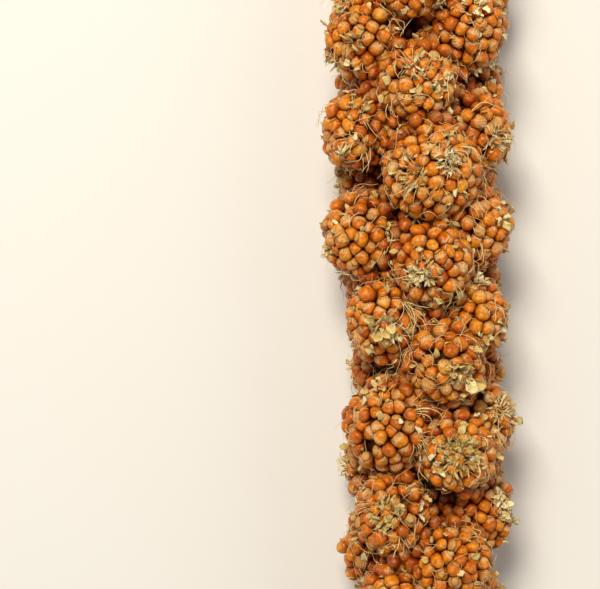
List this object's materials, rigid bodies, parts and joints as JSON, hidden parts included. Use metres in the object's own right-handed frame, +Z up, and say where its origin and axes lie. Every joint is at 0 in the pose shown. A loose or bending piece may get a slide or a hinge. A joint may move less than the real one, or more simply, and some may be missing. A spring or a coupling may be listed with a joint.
{
  "type": "millet seed head",
  "caption": "Foxtail millet seed head cut with a bare length of stalk: bristly clusters of round orange grains, lying on its side.",
  "frame": {"origin": "middle of the head's bounding box, on the surface it lies on", "axes": "+Y along the stalk from the tip to the cut end, +Z up from the surface it lies on"},
  "size_m": [0.0304, 0.1503, 0.0264],
  "materials": {
    "grain": "satin",
    "stalk": "matte",
    "husk": "matte",
    "bristle": "satin"
  },
  "bodies": {
    "root": {"cluster_01": "grain", "cluster_02": "grain", "cluster_03": "grain", "cluster_04": "grain", "cluster_05": "grain", "cluster_06": "grain", "cluster_07": "grain", "cluster_08": "grain", "cluster_09": "grain", "cluster_10": "grain", "cluster_11": "grain", "cluster_12": "grain", "cluster_13": "grain", "cluster_14": "grain", "cluster_15": "grain", "cluster_16": "grain", "cluster_17": "grain", "cluster_18": "grain", "cluster_19": "grain", "cluster_20": "grain", "cluster_21": "grain", "cluster_22": "grain", "cluster_23": "grain", "cluster_24": "grain", "cluster_25": "grain", "cluster_26": "grain", "cluster_27": "grain", "cluster_28": "grain", "cluster_29": "grain", "cluster_30": "grain", "cluster_31": "grain", "cluster_32": "grain", "cluster_33": "grain", "cluster_34": "grain", "cluster_35": "grain", "cluster_36": "grain", "cluster_37": "grain", "cluster_38": "grain", "cluster_39": "grain", "cluster_40": "grain", "cluster_41": "grain", "cluster_42": "grain", "cluster_43": "grain", "cluster_44": "grain", "cluster_45": "grain", "cluster_46": "grain", "cluster_47": "grain", "cluster_48": "grain", "cluster_49": "grain", "cluster_50": "grain", "cluster_51": "grain", "cluster_52": "grain", "cluster_53": "grain", "cluster_54": "grain", "cluster_55": "grain", "cluster_56": "grain", "cluster_57": "grain", "cluster_58": "grain", "stalk": "stalk"}
  },
  "joints": []
}
